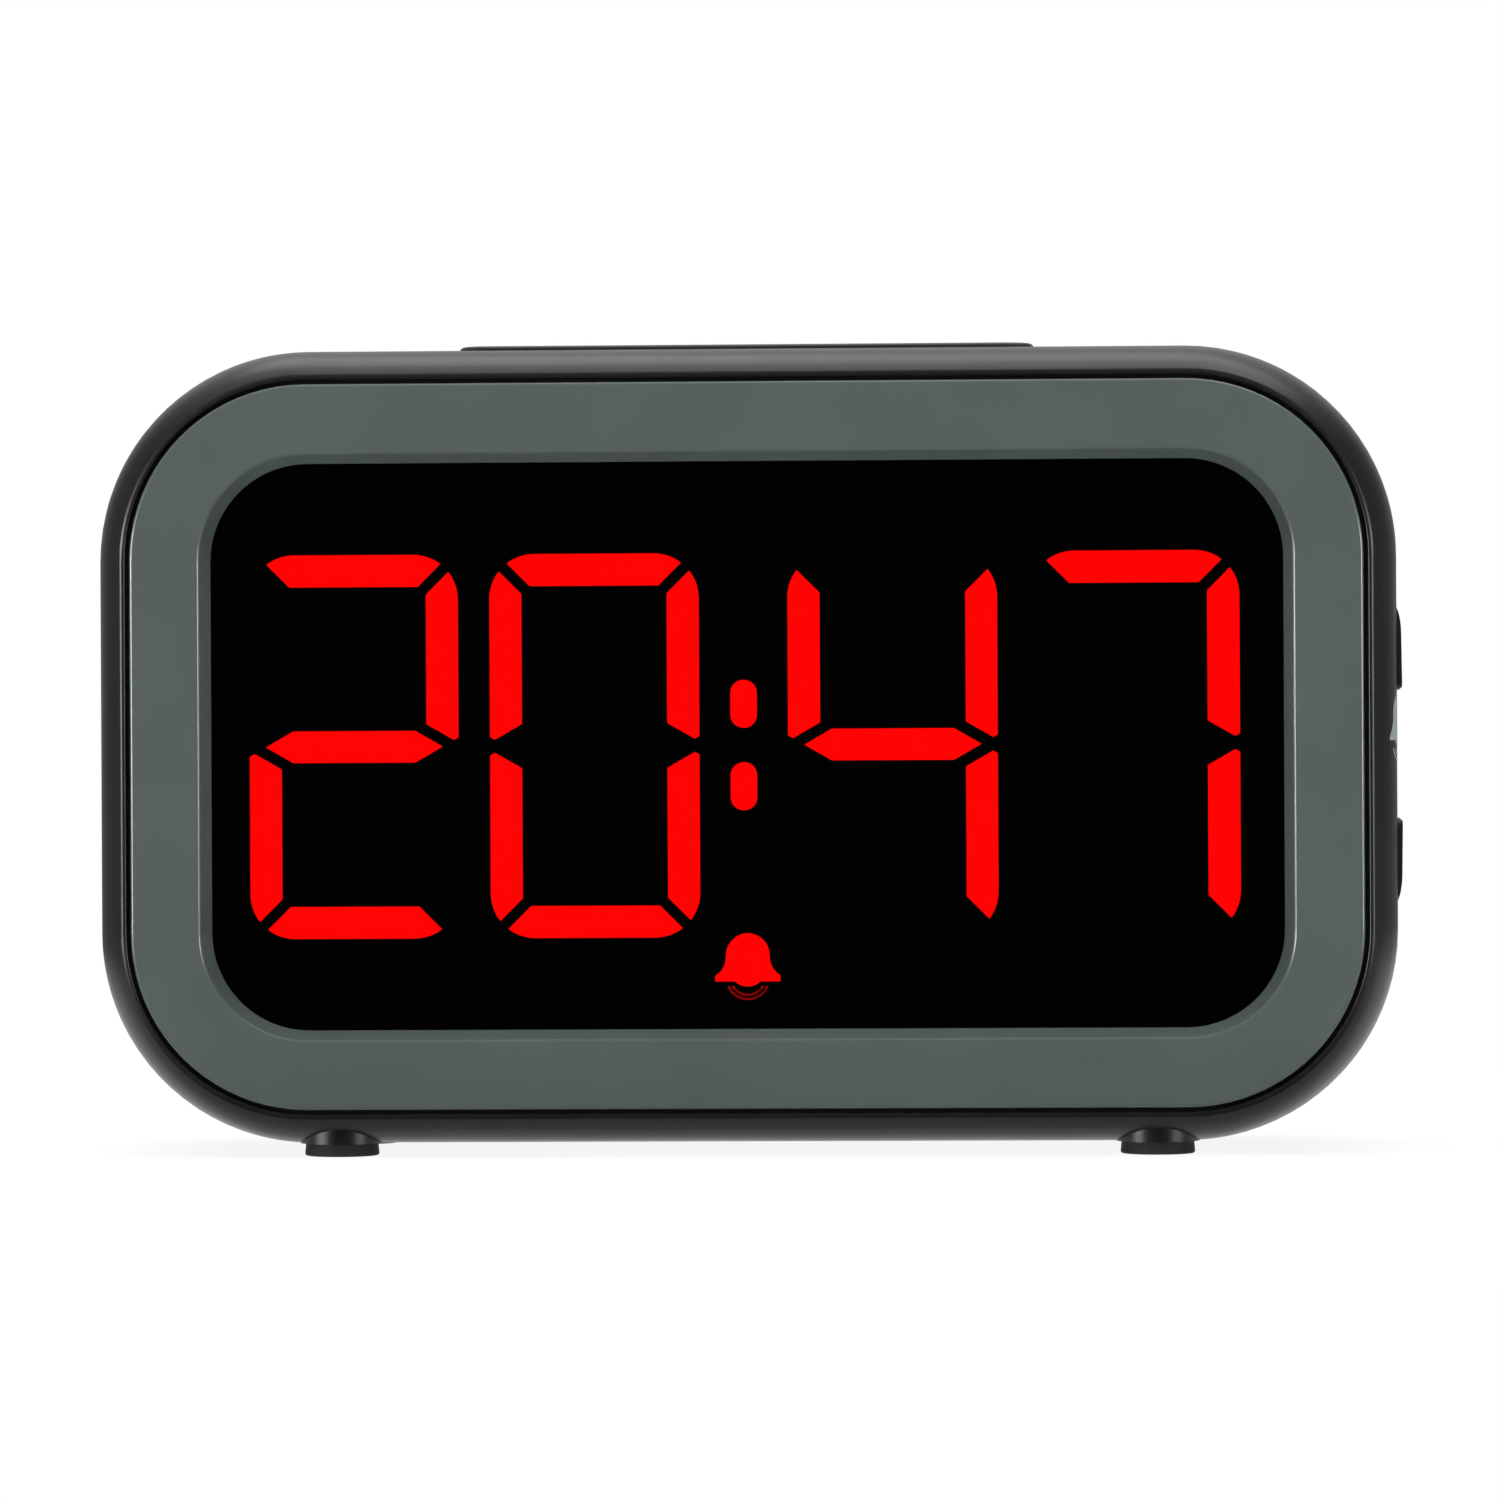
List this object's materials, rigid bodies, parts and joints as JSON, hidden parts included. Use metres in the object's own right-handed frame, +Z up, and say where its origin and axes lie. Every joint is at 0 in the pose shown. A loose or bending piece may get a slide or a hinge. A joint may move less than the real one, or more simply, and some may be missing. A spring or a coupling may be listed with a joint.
{
  "type": "digital led desk clock",
  "caption": "Rounded black desk alarm clock with a grey front frame, smoked window, lit red seven-segment time display, snooze bar, side alarm keys and rubber feet.",
  "frame": {"origin": "on the table under the middle of the housing, at the bottom of the feet", "axes": "+X to the right of someone facing the dial, +Y from the dial to the back, +Z up"},
  "size_m": [0.1551, 0.0425, 0.0965],
  "materials": {
    "housing_black": "satin black moulded plastic",
    "frame_grey": "satin grey moulded plastic",
    "smoked_window": "smoked acrylic sheet",
    "key_black": "satin black moulded plastic",
    "foot_rubber": "dark grey rubber",
    "gasket_foam": "black foam tape",
    "block_black": "black reflector plastic",
    "segment_lit": "red resin, lit",
    "segment_unlit": "red resin, dark",
    "led_body": "LED chip",
    "board_green": "green circuit board",
    "screw_steel": "zinc-plated steel",
    "component_black": "black component plastic",
    "capacitor_can": "aluminium can",
    "crystal_can": "nickel-plated can",
    "plunger_white": "white switch plastic",
    "socket_white": "white socket plastic",
    "cable_grey": "grey flat cable",
    "pin_nickel": "nickel-plated contact metal",
    "cell_steel": "steel cell can"
  },
  "bodies": {
    "case": {"alarm_switches": "component_black", "bell_light": "segment_lit", "board_cable": "cable_grey", "cell_side_contact": "pin_nickel", "cell_spring_contact": "pin_nickel", "coin_cell": "cell_steel", "colon_lights": "segment_lit", "controller_chip": "component_black", "digit_block": "block_black", "display_board": "board_green", "display_board_screws": "screw_steel", "display_socket": "socket_white", "display_window": "smoked_window", "foot_front_left": "foot_rubber", "foot_front_right": "foot_rubber", "foot_rear_left": "foot_rubber", "foot_rear_right": "foot_rubber", "front_frame": "frame_grey", "front_housing": "housing_black", "hour_tens_lit": "segment_lit", "hour_tens_unlit": "segment_unlit", "hour_units_lit": "segment_lit", "hour_units_unlit": "segment_unlit", "housing_screws": "screw_steel", "main_board": "board_green", "main_board_screws": "screw_steel", "main_socket": "socket_white", "minute_tens_lit": "segment_lit", "minute_tens_unlit": "segment_unlit", "minute_units_lit": "segment_lit", "minute_units_unlit": "segment_unlit", "power_jack": "component_black", "power_jack_pin": "pin_nickel", "quartz_crystal": "crystal_can", "rear_cover": "housing_black", "rear_switches": "component_black", "segment_leds": "led_body", "side_key_board": "board_green", "side_key_cable": "cable_grey", "side_key_screws": "screw_steel", "smoothing_capacitors": "capacitor_can", "snooze_switches": "component_black", "sounder": "component_black", "top_key_board": "board_green", "top_key_cable": "cable_grey", "top_key_screws": "screw_steel", "voltage_regulator": "component_black", "window_gasket": "gasket_foam"},
    "snooze": {"snooze_bar": "key_black", "snooze_plungers": "plunger_white"},
    "alarm_upper": {"alarm_upper_key": "key_black", "alarm_upper_plunger": "plunger_white"},
    "alarm_lower": {"alarm_lower_key": "key_black", "alarm_lower_plunger": "plunger_white"},
    "set_button": {"set_key": "key_black", "set_plunger": "plunger_white"},
    "mode_button": {"mode_key": "key_black", "mode_plunger": "plunger_white"},
    "cap": {"battery_cap": "key_black"}
  },
  "joints": [
    {"name": "snooze_press", "type": "slide", "parent": "case", "child": "snooze", "axis": [0, 0, -1], "range_m": [0, 0.0005], "stiffness_N_per_m": 1000, "springref_m": -0.0015},
    {"name": "alarm_upper_press", "type": "slide", "parent": "case", "child": "alarm_upper", "axis": [-1, 0, 0], "range_m": [0, 0.0005], "stiffness_N_per_m": 700, "springref_m": -0.0015},
    {"name": "alarm_lower_press", "type": "slide", "parent": "case", "child": "alarm_lower", "axis": [-1, 0, 0], "range_m": [0, 0.0005], "stiffness_N_per_m": 700, "springref_m": -0.0015},
    {"name": "set_press", "type": "slide", "parent": "case", "child": "set_button", "axis": [0, -1, 0], "range_m": [0, 0.0005], "stiffness_N_per_m": 700, "springref_m": -0.0015},
    {"name": "mode_press", "type": "slide", "parent": "case", "child": "mode_button", "axis": [0, -1, 0], "range_m": [0, 0.0005], "stiffness_N_per_m": 700, "springref_m": -0.0015},
    {"name": "battery_cap_turn", "type": "hinge", "parent": "case", "child": "cap", "pos_m": [-0.036, 0.02, 0.0427], "axis": [0, 1, 0], "range_deg": [0, 50]}
  ]
}
